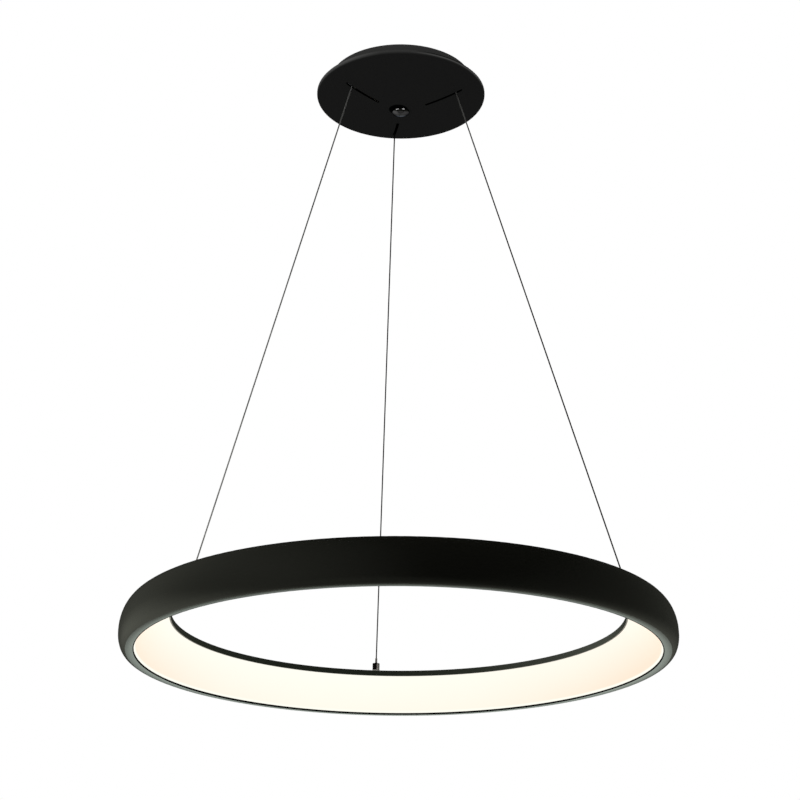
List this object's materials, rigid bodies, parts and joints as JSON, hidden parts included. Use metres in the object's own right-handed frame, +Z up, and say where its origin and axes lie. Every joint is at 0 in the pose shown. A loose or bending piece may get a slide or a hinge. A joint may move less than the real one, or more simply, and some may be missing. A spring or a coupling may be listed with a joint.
{
  "type": "led pendant light",
  "caption": "LED ring pendant: a black ring with a glowing opal inner cone, hung by thin steel wires from a round dished black ceiling canopy.",
  "frame": {"origin": "middle of the canopy on the ceiling, halfway between the bracket's two screw slots", "axes": "+Z up into the ceiling; +Y towards the first suspension wire, the others stand at 210 and 330 degrees from +X; the bracket runs along X"},
  "size_m": [0.61, 0.61, 0.724],
  "materials": {
    "casing_black": "black powder coat, satin",
    "canopy_black": "black powder coat, matte",
    "dome_black": "gloss",
    "opal": "satin",
    "wire_steel": "satin",
    "ferrule_steel": "satin",
    "sleeve_grey": "matte",
    "zinc_plate": "zinc plated",
    "stud_zinc": "zinc plated",
    "nylon": "matte",
    "grommet_rubber": "matte",
    "gripper_nickel": "nickel plated",
    "spring_steel": "bright",
    "driver_case_white": "matte",
    "circuit_green": "satin",
    "driver_parts": "satin",
    "terminal_cream": "satin",
    "terminal_brass": "plain",
    "lead_brown": "satin",
    "lead_red": "satin",
    "lead_earth": "satin",
    "carrier_white": "white coat, matte",
    "board_white": "white lacquer",
    "chip_yellow": "gloss",
    "plug_white": "satin"
  },
  "bodies": {
    "canopy_base": {"cable_grommet": "grommet_rubber", "ceiling_bracket": "zinc_plate", "centre_stud": "stud_zinc", "driver_board": "circuit_green", "driver_case": "driver_case_white", "driver_components": "driver_parts", "driver_lid": "driver_case_white", "earth_lead": "lead_earth", "earth_lug": "terminal_brass", "earth_screw": "stud_zinc", "gear_tray": "zinc_plate", "gripper_body_1": "gripper_nickel", "gripper_body_2": "gripper_nickel", "gripper_body_3": "gripper_nickel", "gripper_nuts": "gripper_nickel", "gripper_spring_1": "spring_steel", "gripper_spring_2": "spring_steel", "gripper_spring_3": "spring_steel", "mains_leads": "lead_brown", "output_leads": "lead_red", "stud_nuts": "stud_zinc", "suspension_wire_1": "wire_steel", "suspension_wire_2": "wire_steel", "suspension_wire_3": "wire_steel", "terminal_block": "terminal_cream", "terminal_screws": "terminal_brass"},
    "cover": {"canopy_cover": "canopy_black", "cover_washer": "nylon"},
    "dome_nut": {"dome_nut": "dome_black"},
    "ring": {"ring_casing": "casing_black", "diffuser": "opal", "led_carrier": "carrier_white", "led_chips": "chip_yellow", "board_links": "plug_white", "carrier_screws": "stud_zinc", "ring_leads": "lead_red", "diffuser_clips": "spring_steel", "anchor_insulators": "nylon", "led_board_1": "board_white", "led_board_2": "board_white", "led_board_3": "board_white", "led_board_4": "board_white", "anchor_bush_1": "stud_zinc", "anchor_bush_2": "stud_zinc", "anchor_bush_3": "stud_zinc", "wire_ferrule_1": "ferrule_steel", "wire_ferrule_2": "ferrule_steel", "wire_ferrule_3": "ferrule_steel", "wire_sleeve_1": "sleeve_grey", "wire_sleeve_2": "sleeve_grey", "wire_sleeve_3": "sleeve_grey"},
    "plunger_1": {"gripper_plunger_1": "gripper_nickel"},
    "plunger_2": {"gripper_plunger_2": "gripper_nickel"},
    "plunger_3": {"gripper_plunger_3": "gripper_nickel"}
  },
  "joints": [
    {"name": "ring_height", "type": "slide", "parent": "canopy_base", "child": "ring", "axis": [0, 0, 1], "range_m": [0, 0.4], "deforming": ["suspension_wire_1", "suspension_wire_2", "suspension_wire_3"]},
    {"name": "cover_slide", "type": "slide", "parent": "canopy_base", "child": "cover", "axis": [0, 0, -1], "range_m": [0, 0.00625]},
    {"name": "dome_nut_turn", "type": "hinge", "parent": "cover", "child": "dome_nut", "pos_m": [0, 0, -0.04], "axis": [0, 0, -1], "range_deg": [0, 1800]},
    {"name": "plunger_1_push", "type": "slide", "parent": "canopy_base", "child": "plunger_1", "axis": [0, 0, 1], "range_m": [0, 0.0025], "stiffness_N_per_m": 500, "springref_m": -0.004, "deforming": ["gripper_spring_1"]},
    {"name": "plunger_2_push", "type": "slide", "parent": "canopy_base", "child": "plunger_2", "axis": [0, 0, 1], "range_m": [0, 0.0025], "stiffness_N_per_m": 500, "springref_m": -0.004, "deforming": ["gripper_spring_2"]},
    {"name": "plunger_3_push", "type": "slide", "parent": "canopy_base", "child": "plunger_3", "axis": [0, 0, 1], "range_m": [0, 0.0025], "stiffness_N_per_m": 500, "springref_m": -0.004, "deforming": ["gripper_spring_3"]}
  ],
  "couplings": [
    {"joint": "dome_nut_turn", "follows": "cover_slide", "rad_per_m": 5026.5}
  ]
}
